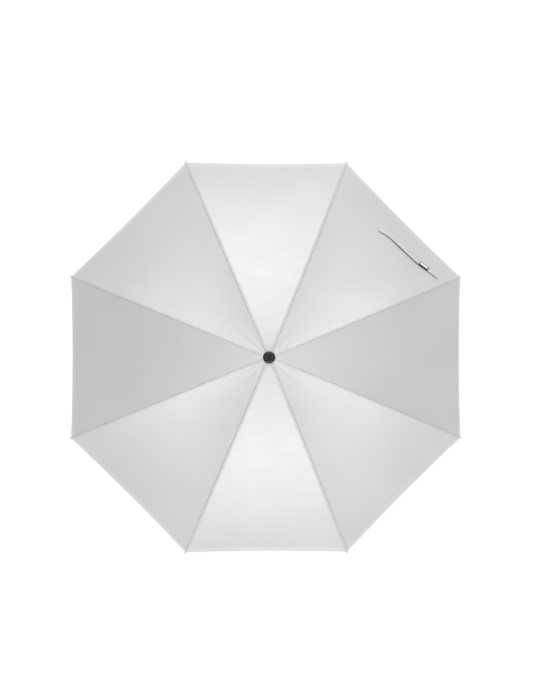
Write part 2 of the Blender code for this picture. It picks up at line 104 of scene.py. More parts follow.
CROWN_HIGH = 0.45 * MM  # pleats that run out from the cap
CROWN_REACH = 60 * MM
CORNER_HIGH = 0.3 * MM  # puckers where the hem is sewn to a tip
CORNER_WIDE = 55 * MM
CORNER_DEEP = 90 * MM
SLACK_HIGH = 0.12 * MM  # long shallow folds
THREAD = 0.5 * MM  # from one thread of the weave to the next


def finish_of(name, colour, roughness, metallic=0.0):
    """A Principled material, a function that adds a node, and one that joins an output to the shader."""
    material = bpy.data.materials.new(name)
    material.use_nodes = True
    nodes, links = material.node_tree.nodes, material.node_tree.links
    shader = nodes["Principled BSDF"]
    shader.inputs["Base Color"].default_value = (*colour, 1)
    shader.inputs["Roughness"].default_value = roughness
    shader.inputs["Metallic"].default_value = metallic

    def add(kind, **inputs):
        node = nodes.new(kind)
        for key, value in inputs.items():
            socket = node.inputs[key.replace("_", " ")]
            if isinstance(value, bpy.types.NodeSocket):
                links.new(value, socket)
            else:
                socket.default_value = value
        return node

    def join(output, socket):
        links.new(output, shader.inputs[socket])

    return material, add, join


def set_finish(material, **sockets):
    for socket, value in sockets.items():
        material.node_tree.nodes["Principled BSDF"].inputs[socket.replace("_", " ")].default_value = value


def noise(add, vector, scale, detail=3.0):
    return add("ShaderNodeTexNoise", Vector=vector, Scale=scale, Detail=detail).outputs["Fac"]


def spread(add, factor, low, high):
    """A value from low to high as the factor goes from 0 to 1."""
    node = add("ShaderNodeMapRange", Value=factor)
    node.inputs["To Min"].default_value = low
    node.inputs["To Max"].default_value = high
    return node.outputs["Result"]


def mixed(add, factor, first, second):
    """A colour that turns from the first to the second as the factor goes from 0.3 to 0.7."""
    ramp = add("ShaderNodeValToRGB", Fac=factor)
    ramp.color_ramp.elements[0].position, ramp.color_ramp.elements[1].position = 0.3, 0.7
    ramp.color_ramp.elements[0].color, ramp.color_ramp.elements[1].color = (*first, 1), (*second, 1)
    return ramp.outputs["Color"]


def stops(add, distance, reach, *steps):
    """A grey that follows (distance, value) steps, out to a reach in metres."""
    share = add("ShaderNodeMapRange", Value=distance)
    share.inputs["From Max"].default_value = reach
    ramp = add("ShaderNodeValToRGB", Fac=share.outputs["Result"])
    elements = ramp.color_ramp.elements
    elements[0].position, elements[0].color = steps[0][0] / reach, (steps[0][1],) * 3 + (1,)
    elements[1].position, elements[1].color = steps[-1][0] / reach, (steps[-1][1],) * 3 + (1,)
    for at, value in steps[1:-1]:
        elements.new(at / reach).color = (value,) * 3 + (1,)
    return ramp.outputs["Color"]


def product(add, first, second):
    node = add("ShaderNodeVectorMath")
    node.operation = "MULTIPLY"
    first.node.id_data.links.new(first, node.inputs[0])
    first.node.id_data.links.new(second, node.inputs[1])
    return node.outputs[0]


def woven(add, vector, pitch):
    """The height of a plain weave: two sets of waves, one across the other."""
    bands = []
    for direction in ("X", "Y"):
        wave_node = add("ShaderNodeTexWave", Vector=vector, Scale=1 / pitch / (2 * math.pi))
        wave_node.bands_direction = direction
        bands.append(wave_node.outputs["Fac"])
    total = add("ShaderNodeMath")
    total.operation = "ADD"
    links = total.id_data.links
    links.new(bands[0], total.inputs[0])
    links.new(bands[1], total.inputs[1])
    return total.outputs[0]


def bump(add, join, height, distance, strength):
    node = add("ShaderNodeBump", Height=height, Distance=distance, Strength=strength)
    join(node.outputs["Normal"], "Normal")


def add_piece(name, mesh, material):
    piece = bpy.data.objects.new(name, mesh)
    mesh.materials.clear()
    mesh.materials.append(material)
    bpy.context.scene.collection.objects.link(piece)
    return piece


def rib_point(s):
    """(distance from the shaft, height, slope below horizontal) of a rib at arc length s."""
    b = SLOPE_AT_HUB + s / RIB_ARC_R
    out = PIVOT_R + RIB_ARC_R * (math.sin(b) - math.sin(SLOPE_AT_HUB))
    return out, HUB_Z - RIB_ARC_R * (math.cos(SLOPE_AT_HUB) - math.cos(b)), b


def gore_point(s, across, lift):
    """Point of a gore whose middle lies over +X. across goes from -1 at one rib to 1 at the other."""
    s -= HEM_SCALLOP * (1 - across * across) * (s / HEM) ** 4
    out, z, b = rib_point(s)
    b = math.atan(math.tan(b) / math.cos(HALF))
    drop = SAG * math.sin(math.pi * (s - CLOTH_START) / (HEM - CLOTH_START)) * (1 - across * across)
    x = out * math.cos(HALF) + (lift - drop) * math.sin(b)
    return Vector((x, across * x * math.tan(HALF), z + (lift - drop) * math.cos(b)))


def half_width(s):
    return rib_point(s)[0] * math.sin(HALF)


def ease(x):
    x = min(1.0, max(0.0, x))
    return x * x * (3 - 2 * x)


def ripple(seed, x):
    """A smooth wandering value from -1 to 1."""
    slow = math.sin(x + seed * 1.7)
    return (slow + 0.6 * math.sin(x * 2.3 + seed * 4.1) + 0.4 * math.sin(x * 3.7 + seed)) / 2


def relief(s, across, gore):
    """What lifts the cloth off its smooth shape: seam, hem, the gathers beside them, and slack folds."""
    inner = 1 - across * across
    rib = gore if across > 0 else (gore - 2) % RIB_COUNT + 1
    from_rib = (1 - abs(across)) * half_width(s)
    from_hem = HEM - s
    by_rib = math.exp(-((from_rib / GATHER_REACH) ** 2))
    by_hem = math.exp(-((from_hem / GATHER_REACH) ** 2))
    by_crown = math.exp(-((s / CROWN_REACH) ** 2))
    by_corner = math.exp(-((from_rib / CORNER_WIDE) ** 2) - (from_hem / CORNER_DEEP) ** 2)
    from_corner = from_rib * 0.6 + from_hem * 0.25
    lift = SEAM_HIGH * (1 - ease((from_rib - SEAM_HALF) / EDGE_SLOPE))
    lift += HEM_HIGH * ease((HEM_WIDE - from_hem) / EDGE_SLOPE + 1)
    lift += GATHER_HIGH * across**2 * by_rib * ripple(rib * 3, s / (5 * MM))
    lift += GATHER_HIGH * inner * by_hem * ripple(gore, across * half_width(s) / (6 * MM))
    lift += CROWN_HIGH * inner * by_crown * ripple(gore + 23, across * 9)
    lift += CORNER_HIGH * across**2 * by_corner * ripple(rib + 7, from_corner / (7 * MM))
    return lift + SLACK_HIGH * inner * ripple(gore * 5, s / (60 * MM) + across)


def turned(v, angle):
    return Matrix.Rotation(angle, 3, "Z") @ v


def on_gore(gore, s, across, lift=0.0):
    """A point on the cloth's upper face, or lift above it."""
    height = CLOTH_LIFT + CLOTH / 2 + relief(s, across, gore) + lift
    return turned(gore_point(s, across, height), (gore - 1) * SECTOR)


# Stations run from the crown to the hem and lanes from the crease to the rib, closer by the hem and seam.
HEM_STARTS = HEM - HEM_WIDE - 2 * MM
STATIONS = [CLOTH_START + (HEM_STARTS - CLOTH_START) * i / 260 for i in range(260)]
STATIONS += [HEM_STARTS + (HEM - HEM_STARTS) * i / 10 for i in range(11)]
LANES = [0.8 * i / 14 for i in range(14)]
LANES += [0.8, 0.84, 0.88, 0.91, 0.94, 0.96, 0.972, 0.982, 0.99, 0.995, 1.0]


def half_gore(name, gore, side):
    """The cloth of one half gore as a thin closed sheet, with two UV maps in metres."""
    bm = bmesh.new()
    weave_map = bm.loops.layers.uv.new("weave")
    edge_map = bm.loops.layers.uv.new("edges")
    place = {}
    grids = []
    for down in (0.0, -CLOTH):
        grid = []
        for s in STATIONS:
            wide = half_width(s)
            row = []
            for share in LANES:
                vert = bm.verts.new(on_gore(gore, s, side * share, down))
                place[vert] = ((side * share * wide, s), ((1 - share) * wide, HEM - s))
                row.append(vert)
            grid.append(row)
        grids.append(grid)
    top, under = grids
    rows, columns = len(STATIONS), len(LANES)
    quads = []
    for i in range(rows - 1):
        for j in range(columns - 1):
            quads.append((top[i][j], top[i + 1][j], top[i + 1][j + 1], top[i][j + 1]))
            quads.append((under[i][j], under[i][j + 1], under[i + 1][j + 1], under[i + 1][j]))
        for j in (0, columns - 1):
            quads.append((top[i][j], under[i][j], under[i + 1][j], top[i + 1][j]))
    for j in range(columns - 1):
        for i in (0, rows - 1):
            quads.append((top[i][j], top[i][j + 1], under[i][j + 1], under[i][j]))
    for quad in quads:
        for loop in bm.faces.new(quad).loops:
            loop[weave_map].uv, loop[edge_map].uv = place[loop.vert]
    bmesh.ops.recalc_face_normals(bm, faces=bm.faces)
    mesh = bpy.data.meshes.new(name)
    bm.to_mesh(mesh)
    bm.free()
    mesh.shade_smooth()
    mesh.set_sharp_from_angle(angle=math.radians(50))
    return mesh


cloth, add, join = finish_of("silver_white_satin", (0.69, 0.7, 0.695), 0.55, 0.7)
set_finish(cloth, Sheen_Weight=0.25, Sheen_Roughness=0.4)
weave_uv = add("ShaderNodeUVMap")
weave_uv.uv_map = "weave"
edge_uv = add("ShaderNodeUVMap")
edge_uv.uv_map = "edges"
edges = add("ShaderNodeSeparateXYZ", Vector=edge_uv.outputs["UV"])
objects = add("ShaderNodeTexCoord").outputs["Object"]
# Painted shade: dark lines where the cloth folds over the rib and just beyond the raised seam band. The
# paler band between them is the doubled cloth's own tone.
seam_shade_and_tone = stops(add, edges.outputs["X"], 6 * MM, (0, 0.8), (0.3 * MM, 0.94), (1.3 * MM, 0.94),
                  (1.6 * MM, 0.76), (2.2 * MM, 0.8), (3.4 * MM, 0.97))
# Painted shade: a dark line just beyond the inner edge of the turned hem, where the hem steps down to the
# gore. The lighter hem band is the doubled cloth's own tone.
hem_shade_and_tone = stops(add, edges.outputs["Y"], 14 * MM, (0, 1.0), (7.6 * MM, 1.0),
                 (8.2 * MM, 0.88), (9.2 * MM, 0.94))
tone = mixed(add, noise(add, objects, 5, 2), (0.76, 0.773, 0.768), (0.81, 0.816, 0.81))
join(product(add, product(add, tone, seam_shade_and_tone), hem_shade_and_tone), "Base Color")
join(spread(add, noise(add, objects, 60, 5), 0.5, 0.6), "Roughness")
bump(add, join, woven(add, weave_uv.outputs["UV"], THREAD), 0.03 * MM, 0.25)

HALVES = (("a", -1), ("b", 1))


def fold(piece, gore, half):
    """The piece rides its half gore: it is parented to that half gore's body and given a mesh of its own.
    Points at the crown and the hem are worked out but not used.
    """
    side = dict(HALVES)[half]
    angle = (gore - 1) * SECTOR
    crown, corner, middle = [turned(gore_point(s, across, CLOTH_LIFT), angle)
                             for s, across in ((CLOTH_START, 0), (HEM, side), (HEM, 0))]
    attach(piece, f"cloth_{gore}_{half}")
    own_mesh(piece)


canopy = {}
for gore in range(1, RIB_COUNT + 1):
    for half, side in HALVES:
        name = f"cloth_{gore}_{half}"
        canopy[gore, half] = add_piece(name, half_gore(name, gore, side), cloth)
        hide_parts(f"gore_{gore}_{half}")
        fold(canopy[gore, half], gore, half)


# ---------------------------------------------------------------- stitches
# Lock stitches of pale thread: one row down each side of every seam, and one row along the hem.
# Before it is sewn, each half gore is a tapered strip of flat cloth.

STITCH_PITCH = 3.0 * MM
STITCH_LONG = 2.3 * MM
STITCH_WIDE = 0.38 * MM
SEAM_ROW = 1.0 * MM  # from the rib's line
HEM_ROW = 6.6 * MM  # from the hem
HEM_ROW_STARTS = 0.01  # from the crease, as a share of the half gore
HEM_ROW_LONG = 0.975
SEAM_ROW_STARTS = 14 * MM
SEAM_ROW_LONG = HEM - 15 * MM

thread, add, join = finish_of("pale_thread", (0.7, 0.71, 0.705), 0.7)
objects = add("ShaderNodeTexCoord").outputs["Object"]
join(mixed(add, noise(add, objects, 1500), (0.64, 0.65, 0.645), (0.78, 0.79, 0.785)), "Base Color")
bump(add, join, noise(add, objects, 6000), 0.05 * MM, 0.5)


def stitch_tree(name, material):
    """Nodes that lay a stitch at every pitch along edges."""
    tree = bpy.data.node_groups.new(name, "GeometryNodeTree")
    face = tree.interface
    face.new_socket("Rows", in_out="INPUT", socket_type="NodeSocketGeometry")
    for socket in ("Pitch", "Length", "Width"):
        face.new_socket(socket, in_out="INPUT", socket_type="NodeSocketFloat")
    face.new_socket("Stitches", in_out="OUTPUT", socket_type="NodeSocketGeometry")
    nodes, links = tree.nodes, tree.links
    given = nodes.new("NodeGroupInput")
    curve = nodes.new("GeometryNodeMeshToCurve")
    points = nodes.new("GeometryNodeCurveToPoints")
    points.mode = "LENGTH"
    bead = nodes.new("GeometryNodeMeshIcoSphere")
    bead.inputs["Radius"].default_value = 0.5
    bead.inputs["Subdivisions"].default_value = 1
    size = nodes.new("ShaderNodeCombineXYZ")
    lay = nodes.new("GeometryNodeInstanceOnPoints")
    real = nodes.new("GeometryNodeRealizeInstances")
    finish = nodes.new("GeometryNodeSetMaterial")
    finish.inputs["Material"].default_value = material
    done = nodes.new("NodeGroupOutput")
    links.new(given.outputs["Rows"], curve.inputs["Mesh"])
    links.new(curve.outputs["Curve"], points.inputs["Curve"])
    links.new(given.outputs["Pitch"], points.inputs["Length"])
    links.new(given.outputs["Width"], size.inputs["X"])
    links.new(given.outputs["Width"], size.inputs["Y"])
    links.new(given.outputs["Length"], size.inputs["Z"])
    links.new(points.outputs["Points"], lay.inputs["Points"])
    links.new(points.outputs["Rotation"], lay.inputs["Rotation"])
    links.new(bead.outputs["Mesh"], lay.inputs["Instance"])
    links.new(size.outputs["Vector"], lay.inputs["Scale"])
    links.new(lay.outputs["Instances"], real.inputs["Geometry"])
    links.new(real.outputs["Geometry"], finish.inputs["Geometry"])
    links.new(finish.outputs["Geometry"], done.inputs["Stitches"])
    return tree


def stitched(name, rows, tree, pitch, length, width):
    """A plain mesh of stitches along rows of points."""
    points, joins = [], []
    for row in rows:
        start = len(points)
        points += [tuple(p) for p in row]
        joins += [(start + i, start + i + 1) for i in range(len(row) - 1)]
    guide = bpy.data.meshes.new(name + "_rows")
    guide.from_pydata(points, joins, [])
    carrier = bpy.data.objects.new(name + "_rows", guide)
    bpy.context.scene.collection.objects.link(carrier)
    modifier = carrier.modifiers.new("stitches", "NODES")
    modifier.node_group = tree
    values = {"Pitch": pitch, "Length": length, "Width": width}
    for item in tree.interface.items_tree:
        if item.in_out == "INPUT" and item.name in values:
            modifier[item.identifier] = values[item.name]
    bpy.context.view_layer.update()
    sewn_rows = carrier.evaluated_get(bpy.context.evaluated_depsgraph_get())
    mesh = bpy.data.meshes.new_from_object(sewn_rows)
    bpy.data.objects.remove(carrier, do_unlink=True)
    mesh.shade_smooth()
    return mesh


pale_stitches = stitch_tree("pale_stitches", thread)
for (gore, half), piece in canopy.items():
    side = dict(HALVES)[half]
    seam_row = []
    for i in range(231):
        s = SEAM_ROW_STARTS + SEAM_ROW_LONG * i / 230
        seam_row.append(on_gore(gore, s, side * (1 - SEAM_ROW / half_width(s))))
    hem_row = []
    for i in range(61):
        share = HEM_ROW_STARTS + HEM_ROW_LONG * i / 60
        hem_row.append(on_gore(gore, HEM - HEM_ROW, side * share))
    name = f"stitches_{gore}_{half}"
    mesh = stitched(name, [seam_row, hem_row], pale_stitches, STITCH_PITCH, STITCH_LONG, STITCH_WIDE)
    stitches = add_piece(name, mesh, thread)
    fold(stitches, gore, half)


# ---------------------------------------------------------------- closure strap
# A strip of the canopy's own cloth, folded double and sewn along both edges. A dark grey cord along its
# inner edge is painted shadow, standing for the shade under that lifted edge. It lies across one gore, near
# its hem.

STRAP_GORE = 2
STRAP_EDGE = [(-0.15, 57 * MM), (0, 50 * MM), (0.56, 47.5 * MM), (0.89, 39 * MM)]
STRAP_WIDTH = 12 * MM
STRAP_THICK = 0.9 * MM
STRAP_LIFT = 0.65 * MM
STRAP_STEPS = 70
STRAP_SEWN_IN = 1.6 * MM  # from each long edge to its row of stitches
STRAP_SEWN_ENDS = 0.012  # the same at each end, as a share
STRAP_CROSS_ROW = 0.07  # from the last end to a row across the strap, as a share
STRAP_STITCH_PITCH = 2.4 * MM
STRAP_STITCH_LONG = 1.8 * MM
first_share, last_share = STRAP_EDGE[0][0], STRAP_EDGE[-1][0]


def strap_edge(share):
    """Distance from the shaft of the strap's inner edge, at a share of the half gore, as a smooth curve."""
    corner = gore_point(HEM, 1, CLOTH_LIFT).x
    total, weight = 0.0, 0.0
    for k in range(-4, 5):
        at = min(STRAP_EDGE[-1][0], max(STRAP_EDGE[0][0], share + k * 0.02))
        for (near, inset), (far, next_inset) in zip(STRAP_EDGE, STRAP_EDGE[1:]):
            if near <= at <= far:
                t = (at - near) / (far - near)
                value = inset + (next_inset - inset) * t
        total += value * (5 - abs(k))
        weight += 5 - abs(k)
    return corner - total / weight


def station_at(x, across, lift):
    """Arc length at which the gore is x from the shaft."""
    low, high = 0.0, RIB_LENGTH
    for _ in range(30):
        s = (low + high) / 2
        low, high = (s, high) if gore_point(s, across, lift).x < x else (low, s)
    return low


def strap_point(share, inset, lift):
    """A point over the strap's gore, inset from the strap's inner edge and lift above the cloth."""
    beside = -share * strap_edge(share) * math.tan(HALF)
    x = strap_edge(share) + inset
    across = beside / (x * math.tan(HALF))
    height = CLOTH_LIFT + CLOTH / 2 + lift
    z = gore_point(station_at(x, across, height), across, height).z
    return turned(Vector((x, beside, z)), (STRAP_GORE - 1) * SECTOR)


def strip_mesh(name, rings):
    """A solid through rings of points, with UVs in metres along and across it."""
    bm = bmesh.new()
    layer = bm.loops.layers.uv.new("weave")
    verts = [[bm.verts.new(p) for p in ring] for ring in rings]
    along = [0.0]
    for a, b in zip(rings, rings[1:]):
        along.append(along[-1] + (b[0] - a[0]).length)
    girth = [0.0]
    for a, b in zip(rings[0], rings[0][1:] + rings[0][:1]):
        girth.append(girth[-1] + (b - a).length)
    count = len(rings[0])
    for i in range(len(rings) - 1):
        for j in range(count):
            k = (j + 1) % count
            face = bm.faces.new((verts[i][j], verts[i][k], verts[i + 1][k], verts[i + 1][j]))
            uvs = ((j, i), (j + 1, i), (j + 1, i + 1), (j, i + 1))
            for loop, (u, v) in zip(face.loops, uvs):
                loop[layer].uv = (girth[u], along[v])
    bm.faces.new(verts[0])
    bm.faces.new(verts[-1])
    bmesh.ops.recalc_face_normals(bm, faces=bm.faces)
    mesh = bpy.data.meshes.new(name)
    bm.to_mesh(mesh)
    bm.free()
    mesh.shade_smooth()
    mesh.set_sharp_from_angle(angle=math.radians(60))
    return mesh


def flat_section(wide, thick, corner=6):
    """(across, up) points round a flat strip with rounded edges, lying from 0 to wide."""
    r = thick / 2
    points = []
    for middle, start in ((wide - r, -90), (r, 90)):
        for i in range(corner + 1):
            a = math.radians(start + 180 * i / corner)
            points.append((middle + r * math.cos(a), r + r * math.sin(a)))
    return points


strap_cloth, add, join = finish_of("strap_satin", (0.69, 0.7, 0.695), 0.55, 0.7)
set_finish(strap_cloth, Sheen_Weight=0.25, Sheen_Roughness=0.4)
strap_uv = add("ShaderNodeUVMap")
strap_uv.uv_map = "weave"
objects = add("ShaderNodeTexCoord").outputs["Object"]
join(mixed(add, noise(add, objects, 30, 3), (0.69, 0.703, 0.698), (0.75, 0.756, 0.75)), "Base Color")
join(spread(add, noise(add, objects, 80, 5), 0.48, 0.62), "Roughness")
bump(add, join, woven(add, strap_uv.outputs["UV"], THREAD), 0.03 * MM, 0.3)


def strap_wave(t, across):
    """How the strap stands off the cloth: its inner edge lifts, and it puckers along its length."""
    lifted = 0.35 * MM * (1 - across) * math.sin(math.pi * t)
    return lifted + 0.16 * MM * ripple(3, t * 42 + across * 2)


def strap_face(share, inset):
    """A point on the strap's upper face."""
    t = (share - first_share) / (last_share - first_share)
    height = STRAP_LIFT + STRAP_THICK + strap_wave(t, inset / STRAP_WIDTH)
    return strap_point(share, inset, height)


rings = []
for i in range(STRAP_STEPS + 1):
    t = i / STRAP_STEPS
    share = first_share + (last_share - first_share) * t
    full = math.sin(math.pi * min(1.0, t * 40 + 0.2) / 2)
    thick = STRAP_THICK * (0.45 + 0.55 * full)  # thinner at its first end
    rings.append([strap_point(share, x, STRAP_LIFT + up + strap_wave(t, x / STRAP_WIDTH))
                  for x, up in flat_section(STRAP_WIDTH, thick)])
strap = add_piece("strap", strip_mesh("strap", rings), strap_cloth)
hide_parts("closure_strap")

strap_rows = []
for inset in (STRAP_SEWN_IN, STRAP_WIDTH - STRAP_SEWN_IN):
    row = []
    for i in range(81):
        t = STRAP_SEWN_ENDS + (1 - 2 * STRAP_SEWN_ENDS) * i / 80
        row.append(strap_face(first_share + (last_share - first_share) * t, inset))
    strap_rows.append(row)
for share in (first_share + STRAP_SEWN_ENDS, last_share - STRAP_SEWN_ENDS, last_share - STRAP_CROSS_ROW):
    row = []
    for i in range(9):
        row.append(strap_face(share, STRAP_SEWN_IN + (STRAP_WIDTH - 2 * STRAP_SEWN_IN) * i / 8))
    strap_rows.append(row)
mesh = stitched("strap_stitches", strap_rows, pale_stitches, STRAP_STITCH_PITCH, STRAP_STITCH_LONG,
                STITCH_WIDE)
strap_stitches = add_piece("strap_stitches", mesh, thread)

# Painted shadow: a dark cord along the strap's inner edge, where the lifted edge casts its shade.
shadow_cord, add, join = finish_of("dark_shadow_cord", (0.1, 0.103, 0.1), 0.8)
objects = add("ShaderNodeTexCoord").outputs["Object"]
join(mixed(add, noise(add, objects, 1800), (0.07, 0.072, 0.07), (0.15, 0.155, 0.15)), "Base Color")
bump(add, join, noise(add, objects, 5000), 0.1 * MM, 0.6)
SHADOW_CORD_IN = 0.2 * MM  # its middle, in from the strap's edge
SHADOW_CORD_FLAT = 0.62  # its height against its width
rings = []
for i in range(STRAP_STEPS * 2 + 1):
    t = i / (STRAP_STEPS * 2)
    share = first_share + (last_share - first_share) * t
    r = (0.5 + 0.35 * math.sin(math.pi * t) + 0.06 * math.sin(i * 1.9)) * MM
    up = STRAP_LIFT + STRAP_THICK / 2 + strap_wave(t, 0)
    rings.append([strap_point(share, SHADOW_CORD_IN + r * math.cos(a), up + SHADOW_CORD_FLAT * r * math.sin(a))
                  for a in [2 * math.pi * j / 10 for j in range(10)]])
shadow_cord_piece = add_piece("strap_shadow_cord", strip_mesh("strap_shadow_cord", rings), shadow_cord)
for piece in (strap, strap_stitches, shadow_cord_piece):
    fold(piece, STRAP_GORE, "a")


# ---------------------------------------------------------------- strap label
# A small woven label, sewn on the strap along its inner edge. It is left blank: a white face inside a
# dark woven rim. The rim's wide band along the inner edge is painted shadow, the shade under the label's
# raised edge.

LABEL_FROM = 0.575
LABEL_LONG = 21 * MM
LABEL_WIDE = 8 * MM
LABEL_THICK = 0.45 * MM
LABEL_IN = 0.2 * MM
LABEL_UP = STRAP_LIFT + STRAP_THICK + 0.5 * MM
WHITE_FROM, WHITE_TO = 0.06, 0.9  # shares of the label's length
# The white face starts well in from the inner edge, which leaves the wide dark band of painted shadow
# there.
WHITE_IN = 3.0 * MM
WHITE_WIDE = 4.4 * MM
WHITE_THICK = 0.35 * MM
label_share = LABEL_LONG / (strap_edge(LABEL_FROM) * math.tan(HALF))


def label_rings(start, end, inset, wide, up, thick, steps=24):
    """Rings along the label between two shares of its length."""
    made = []
    for i in range(steps + 1):
        t = start + (end - start) * i / steps
        share = LABEL_FROM + label_share * t
        made.append([strap_point(share, inset + x, LABEL_UP + up + h)
                     for x, h in flat_section(wide, thick, 4)])
    return made


# Painted shadow: this dark rim is widest along the label's inner edge, where it stands for the shade under
# the raised edge.
rim_and_shadow, add, join = finish_of("label_rim_and_shadow", (0.025, 0.026, 0.026), 0.75)
objects = add("ShaderNodeTexCoord").outputs["Object"]
join(mixed(add, noise(add, objects, 2500), (0.018, 0.019, 0.019), (0.05, 0.052, 0.052)), "Base Color")
bump(add, join, noise(add, objects, 6000), 0.08 * MM, 0.5)
rings = label_rings(0, 1, LABEL_IN, LABEL_WIDE, 0, LABEL_THICK)
label = add_piece("label", strip_mesh("label", rings), rim_and_shadow)
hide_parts("strap_tag")

label_white, add, join = finish_of("label_white", (0.86, 0.86, 0.85), 0.6)
label_uv = add("ShaderNodeUVMap")
label_uv.uv_map = "weave"
objects = add("ShaderNodeTexCoord").outputs["Object"]
join(mixed(add, noise(add, objects, 900), (0.83, 0.83, 0.82), (0.9, 0.9, 0.89)), "Base Color")
bump(add, join, woven(add, label_uv.outputs["UV"], 0.35 * MM), 0.05 * MM, 0.4)
rings = label_rings(WHITE_FROM, WHITE_TO, WHITE_IN, WHITE_WIDE, LABEL_THICK * 0.6, WHITE_THICK)
label_face = add_piece("label_face", strip_mesh("label_face", rings), label_white)
for piece in (label, label_face):
    fold(piece, STRAP_GORE, "a")

strap_long = (strap_point(last_share, 0, 0) - strap_point(first_share, 0, 0)).length


# ---------------------------------------------------------------- cap
# A cap moulded in black plastic and polished. It has a plain band, a fine groove and a low dome, and
# it is pressed over the shaft's end to clamp the cloth.


def turned_mesh(name, profile, sides=96):
    """A turned solid from (radius, height) points that start and end on the axis."""
    bm = bmesh.new()
    ends = [bm.verts.new((0, 0, profile[0][1])), bm.verts.new((0, 0, profile[-1][1]))]
    angles = [2 * math.pi * i / sides for i in range(sides)]
    rings = [[bm.verts.new((r * math.cos(a), r * math.sin(a), z)) for a in angles]
             for r, z in profile[1:-1]]
    for i in range(sides):
        j = (i + 1) % sides
        bm.faces.new((ends[0], rings[0][i], rings[0][j]))
        bm.faces.new((ends[1], rings[-1][j], rings[-1][i]))
        for near, far in zip(rings, rings[1:]):
            bm.faces.new((near[i], near[j], far[j], far[i]))
    bmesh.ops.recalc_face_normals(bm, faces=bm.faces)
    mesh = bpy.data.meshes.new(name)
    bm.to_mesh(mesh)
    bm.free()
    mesh.shade_smooth()
    mesh.set_sharp_from_angle(angle=math.radians(35))
    return mesh


CAP_WALL = 0.8 * MM
CAP_HOLLOW = 2.2 * MM
CAP_EDGE = 0.15 * MM
CAP_BAND = 1.5 * MM
CAP_GROOVE = 0.3 * MM
CAP_STEP = 0.1 * MM
GROOVE_TOP = 0.35 * MM  # over the band
DOME_FROM = 0.45 * MM  # over the band
DOME_STEPS = 20
DOME_POWER = 0.95  # below 1, the dome is fuller than a ball's end
low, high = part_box("top_cap")
cap_r = high.x
gloss, add, join = finish_of("polished_black", (0.008, 0.008, 0.009), 0.12)
set_finish(gloss, Specular_IOR_Level=0.55)
objects = add("ShaderNodeTexCoord").outputs["Object"]
join(spread(add, noise(add, objects, 300, 4), 0.18, 0.34), "Roughness")
join(mixed(add, noise(add, objects, 220, 5), (0.002, 0.002, 0.003), (0.007, 0.007, 0.008)), "Base Color")
profile = [(0, low.z + CAP_HOLLOW), (cap_r - CAP_WALL, low.z + CAP_HOLLOW), (cap_r - CAP_WALL, low.z)]
profile += [(cap_r - CAP_EDGE, low.z), (cap_r, low.z + CAP_EDGE), (cap_r, low.z + CAP_BAND)]
for up in (CAP_STEP, GROOVE_TOP):
    profile.append((cap_r - CAP_GROOVE, low.z + CAP_BAND + up))
dome_from = low.z + CAP_BAND + DOME_FROM
for i in range(DOME_STEPS + 1):
    a = math.pi / 2 * i / DOME_STEPS
    out = (cap_r - CAP_STEP) * math.cos(a) ** DOME_POWER
    profile.append((out, dome_from + (high.z - dome_from) * math.sin(a)))
profile[-1] = (0, high.z)
cap = add_piece("cap", turned_mesh("cap", profile), gloss)
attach(cap, "frame")
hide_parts("top_cap")


# ---------------------------------------------------------------- shaft, washer and catch
# A plated steel tube. A cloth washer sits under the cap, and a sprung catch and a cross pin of bare
# spring steel hold the runner.


def paint(material, *names):
    for name in names:
        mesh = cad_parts[name].data
        mesh.materials.clear()
        mesh.materials.append(material)


steel, add, join = finish_of("plated_steel", (0.60, 0.61, 0.63), 0.22, 1.0)
objects = add("ShaderNodeTexCoord").outputs["Object"]
drawn = add("ShaderNodeMapping", Vector=objects, Scale=(1, 1, 0.04)).outputs["Vector"]
join(spread(add, noise(add, drawn, 900, 3), 0.18, 0.28), "Roughness")
join(mixed(add, noise(add, objects, 40), (0.56, 0.57, 0.59), (0.66, 0.67, 0.68)), "Base Color")
bump(add, join, noise(add, drawn, 1600, 2), 0.005 * MM, 0.2)
paint(steel, "shaft")

spring, add, join = finish_of("spring_steel", (0.42, 0.43, 0.45), 0.32, 1.0)
objects = add("ShaderNodeTexCoord").outputs["Object"]
join(spread(add, noise(add, objects, 500, 4), 0.25, 0.45), "Roughness")
join(mixed(add, noise(add, objects, 120), (0.36, 0.37, 0.39), (0.48, 0.49, 0.51)), "Base Color")
paint(spring, "notch_wire", "catch_spring", "stop_pin")

washer, add, join = finish_of("washer_cloth", (0.55, 0.56, 0.55), 0.85)
objects = add("ShaderNodeTexCoord").outputs["Object"]
join(mixed(add, noise(add, objects, 900), (0.5, 0.51, 0.5), (0.62, 0.63, 0.62)), "Base Color")
bump(add, join, noise(add, objects, 3000, 4), 0.05 * MM, 0.6)
paint(washer, "crown_washer")


# ---------------------------------------------------------------- notch, runner and end plug
# Moulded in black plastic with a fine matt grain. The ribs' eyes hang on a ring wire in the notch,
# and the stretchers' feet hang on another in the runner.

moulded, add, join = finish_of("moulded_black", (0.02, 0.02, 0.022), 0.4)
objects = add("ShaderNodeTexCoord").outputs["Object"]
join(spread(add, noise(add, objects, 90, 4), 0.32, 0.5), "Roughness")
join(mixed(add, noise(add, objects, 60, 3), (0.016, 0.016, 0.018), (0.028, 0.028, 0.03)), "Base Color")
bump(add, join, noise(add, objects, 2500), 0.02 * MM, 0.4)
paint(moulded, "end_plug", "top_notch", "runner")

WIRE_R = 0.6 * MM
joint_z = rib_point(RIB_JOINT)[1]
runner_z = 2 * joint_z - HUB_Z


